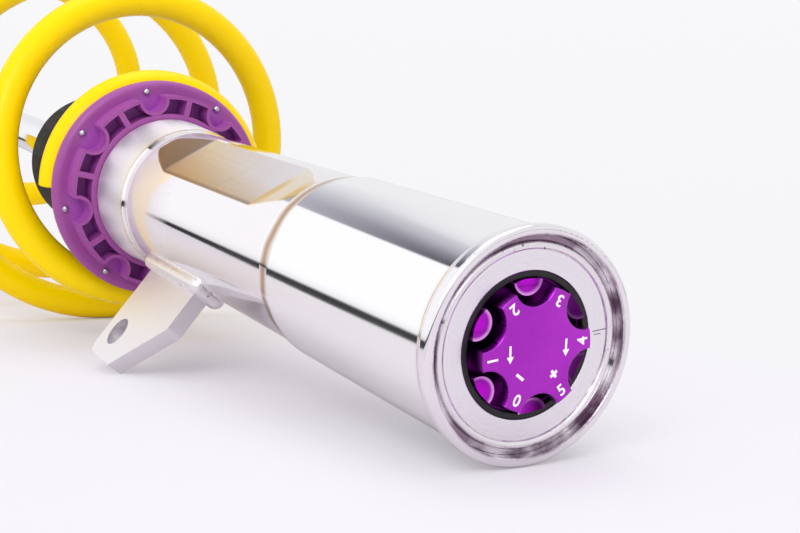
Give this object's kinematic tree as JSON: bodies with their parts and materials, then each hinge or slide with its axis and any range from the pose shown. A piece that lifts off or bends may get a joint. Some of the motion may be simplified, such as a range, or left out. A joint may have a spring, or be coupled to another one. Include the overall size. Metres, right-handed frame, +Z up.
{
  "type": "adjustable coilover strut",
  "caption": "MacPherson coilover strut lying on its side: polished tube, threaded sleeve with a turning perch, loose coil spring, link bracket and damping adjusters.",
  "frame": {"origin": "on the table, under the middle of the lying strut's bounding box", "axes": "+Z up, +X along the table towards the knuckle sleeve and its knob, +Y to the strut's far side; the strut axis leans 7.5 degrees up from the table towards -X"},
  "size_m": [0.6562, 0.165, 0.1765],
  "materials": {
    "polished_steel": "polished",
    "weld_steel": "rough weld",
    "satin_steel": "satin",
    "plain_steel": "satin",
    "black_coat": "satin",
    "hard_chrome": "polished",
    "purple_composite": "satin",
    "purple_anodised": "satin",
    "yellow_coat": "gloss",
    "black_rubber": "matte",
    "grey_foam": "matte",
    "sintered_iron": "matte",
    "bronze": "satin",
    "slip_polymer": "satin",
    "bare_alloy": "satin"
  },
  "bodies": {
    "strut_body": {"knuckle_sleeve": "polished_steel", "strut_tube": "polished_steel", "end_cap": "polished_steel", "cap_weld": "weld_steel", "adjuster_cup": "purple_anodised", "cup_seal_ring": "black_rubber", "detent_balls": "plain_steel", "detent_springs": "plain_steel", "foot_valve": "bare_alloy", "inner_cylinder": "plain_steel", "rod_guide": "sintered_iron", "guide_bush": "bronze", "rod_seal": "black_rubber", "gland_cap": "black_coat", "rod_wiper": "black_rubber", "threaded_sleeve": "black_coat", "sway_bar_bracket": "satin_steel", "bracket_weld": "weld_steel"},
    "carriage": {"slip_ring": "slip_polymer", "main_spring": "yellow_coat"},
    "perch": {"spring_perch": "purple_composite", "perch_pins": "plain_steel"},
    "knob": {"bump_knob": "purple_anodised", "knob_spindle": "plain_steel"},
    "piston_seal": {"piston_band": "slip_polymer"},
    "rod": {"piston_rod": "hard_chrome", "piston": "sintered_iron", "valve_shims": "plain_steel", "piston_nut": "plain_steel", "rebound_stop": "plain_steel", "rebound_buffer": "grey_foam", "bump_stop": "grey_foam", "top_washer": "plain_steel", "top_nut": "plain_steel"},
    "rebound": {"rebound_grip": "purple_anodised", "rebound_rod": "plain_steel"}
  },
  "joints": [
    {"name": "rod_slide", "type": "slide", "parent": "strut_body", "child": "piston_seal", "axis": [-0.9914, 0, 0.1305], "range_m": [-0.2, 0]},
    {"name": "rod_turn", "type": "hinge", "parent": "piston_seal", "child": "rod", "pos_m": [-0.02278, -0.00608, 0.07434], "axis": [-0.9914, 0, 0.1305], "continuous": true},
    {"name": "perch_rise", "type": "slide", "parent": "strut_body", "child": "carriage", "axis": [-0.9914, 0, 0.1305], "range_m": [0, 0.05]},
    {"name": "perch_turn", "type": "hinge", "parent": "carriage", "child": "perch", "pos_m": [0.07041, -0.00608, 0.06207], "axis": [-0.9914, 0, 0.1305], "range_deg": [0, 9000]},
    {"name": "bump_knob_turn", "type": "hinge", "parent": "strut_body", "child": "knob", "pos_m": [0.32422, -0.00608, 0.02865], "axis": [-0.9914, 0, 0.1305], "range_deg": [-60, 240]},
    {"name": "rebound_turn", "type": "hinge", "parent": "rod", "child": "rebound", "pos_m": [-0.31823, -0.00608, 0.11323], "axis": [-0.9914, 0, 0.1305], "range_deg": [0, 720]}
  ],
  "couplings": [
    {"joint": "perch_turn", "follows": "perch_rise", "rad_per_m": 3141.6}
  ]
}
